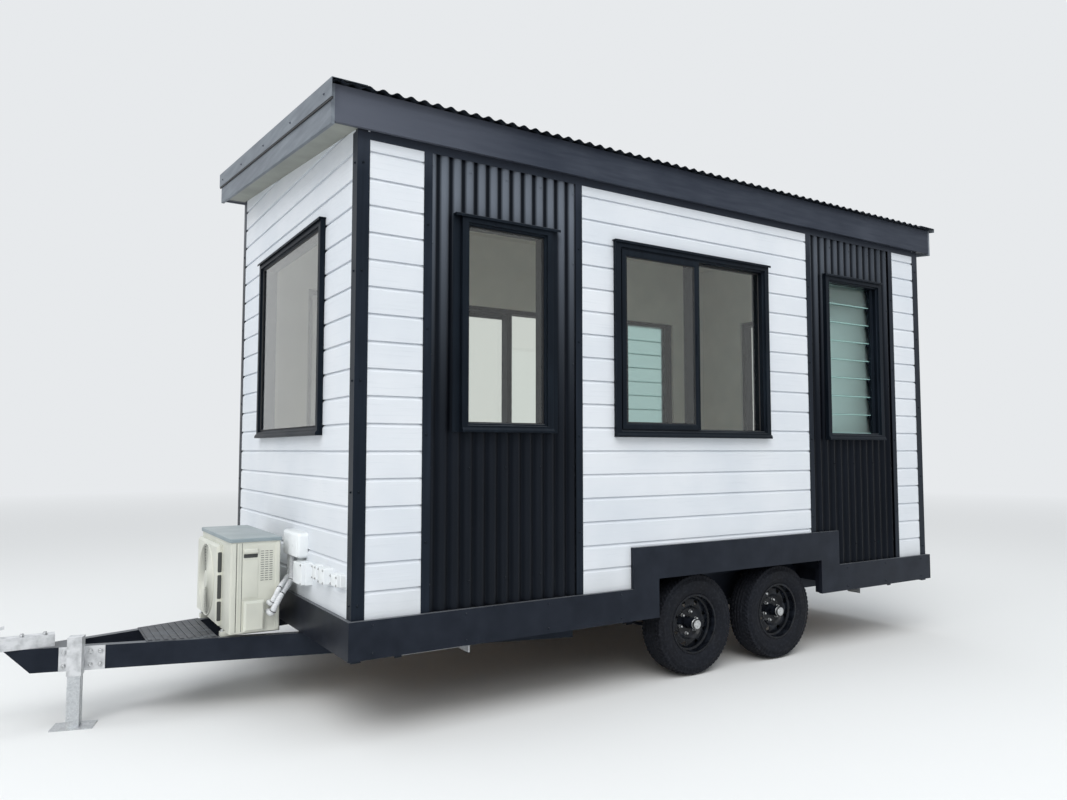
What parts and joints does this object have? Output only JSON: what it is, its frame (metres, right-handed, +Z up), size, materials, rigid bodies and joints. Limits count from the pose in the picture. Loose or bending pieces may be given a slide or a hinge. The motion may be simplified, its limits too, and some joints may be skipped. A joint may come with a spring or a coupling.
{
  "type": "tiny house on a trailer",
  "caption": "Tiny house on a tandem axle trailer, with board and corrugated walls, a single pitch metal roof, a drawbar, a drop leg and an outdoor cooling unit.",
  "frame": {"origin": "middle of the footprint on the ground", "axes": "+X from the coupling to the rear wall, +Y to the side with the door, +Z up"},
  "size_m": [6.6276, 2.671, 3.5623],
  "materials": {
    "plywood": "matt",
    "chassis_black": "satin",
    "galvanised": "dull zinc",
    "tyre_rubber": "matt",
    "rim_black": "gloss",
    "lining": "satin paint",
    "white_boards": "low sheen",
    "dark_sheet": "satin",
    "dark_frame": "powder coat",
    "clear_glass": "polished",
    "soffit_white": "low sheen",
    "condenser_cream": "satin",
    "guard_grey": "matt",
    "pipe_lagging": "matt"
  },
  "bodies": {
    "trailer_house": {"axles": "chassis_black", "barge_boards": "dark_sheet", "barge_cappings": "dark_sheet", "boards_far": "white_boards", "boards_near": "white_boards", "chassis_frame": "chassis_black", "condenser_casing": "condenser_cream", "condenser_guard": "guard_grey", "corner_trims": "dark_sheet", "corrugated_panels": "dark_sheet", "coupling": "galvanised", "drawbar_deck": "galvanised", "drawbar_rails": "chassis_black", "end_boards": "white_boards", "end_skirts": "chassis_black", "end_window_frames": "dark_frame", "entry_door": "dark_frame", "entry_door_frame": "dark_frame", "fascias": "dark_sheet", "fixed_window_frame": "dark_frame", "floor_deck": "plywood", "jack_sleeve": "galvanised", "line_set": "pipe_lagging", "louvre_blades": "clear_glass", "louvre_window_frames": "dark_frame", "panel_trims": "dark_sheet", "roof_panel": "lining", "roof_sheet": "dark_sheet", "skirt_far": "chassis_black", "skirt_near": "chassis_black", "sliding_window_frames": "dark_frame", "soffits": "soffit_white", "springs": "chassis_black", "steady_brackets": "chassis_black", "wall_boxes": "condenser_cream", "wall_far": "lining", "wall_front": "lining", "wall_near": "lining", "wall_rear": "lining", "wheel_boxes": "chassis_black", "window_glass": "clear_glass"},
    "wheel_far_front": {"tyre_far_front": "tyre_rubber", "rim_far_front": "rim_black"},
    "wheel_far_rear": {"tyre_far_rear": "tyre_rubber", "rim_far_rear": "rim_black"},
    "wheel_near_front": {"tyre_near_front": "tyre_rubber", "rim_near_front": "rim_black"},
    "wheel_near_rear": {"tyre_near_rear": "tyre_rubber", "rim_near_rear": "rim_black"},
    "steady_arm_near_front": {"steady_near_front": "galvanised"},
    "steady_arm_near_rear": {"steady_near_rear": "galvanised"},
    "steady_arm_far_front": {"steady_far_front": "galvanised"},
    "steady_arm_far_rear": {"steady_far_rear": "galvanised"},
    "drop_leg": {"jack_leg": "galvanised"}
  },
  "joints": [
    {"name": "wheel_spin_near_front", "type": "hinge", "parent": "trailer_house", "child": "wheel_near_front", "pos_m": [0.70625, -1.1125, 0.325], "axis": [0, 1, 0], "continuous": true},
    {"name": "wheel_spin_near_rear", "type": "hinge", "parent": "trailer_house", "child": "wheel_near_rear", "pos_m": [1.49225, -1.1125, 0.325], "axis": [0, 1, 0], "continuous": true},
    {"name": "wheel_spin_far_front", "type": "hinge", "parent": "trailer_house", "child": "wheel_far_front", "pos_m": [0.70625, 1.1125, 0.325], "axis": [0, 1, 0], "continuous": true},
    {"name": "wheel_spin_far_rear", "type": "hinge", "parent": "trailer_house", "child": "wheel_far_rear", "pos_m": [1.49225, 1.1125, 0.325], "axis": [0, 1, 0], "continuous": true},
    {"name": "steady_hinge_near_front", "type": "hinge", "parent": "trailer_house", "child": "steady_arm_near_front", "pos_m": [-1.31375, -1.08, 0.387], "axis": [0, 1, 0], "range_deg": [0, 48]},
    {"name": "steady_hinge_near_rear", "type": "hinge", "parent": "trailer_house", "child": "steady_arm_near_rear", "pos_m": [2.88625, -1.08, 0.387], "axis": [0, -1, 0], "range_deg": [0, 48]},
    {"name": "steady_hinge_far_front", "type": "hinge", "parent": "trailer_house", "child": "steady_arm_far_front", "pos_m": [-1.31375, 1.08, 0.387], "axis": [0, 1, 0], "range_deg": [0, 48]},
    {"name": "steady_hinge_far_rear", "type": "hinge", "parent": "trailer_house", "child": "steady_arm_far_rear", "pos_m": [2.88625, 1.08, 0.387], "axis": [0, -1, 0], "range_deg": [0, 48]},
    {"name": "leg_slide", "type": "slide", "parent": "trailer_house", "child": "drop_leg", "axis": [0, 0, 1], "range_m": [0, 0.12]}
  ]
}
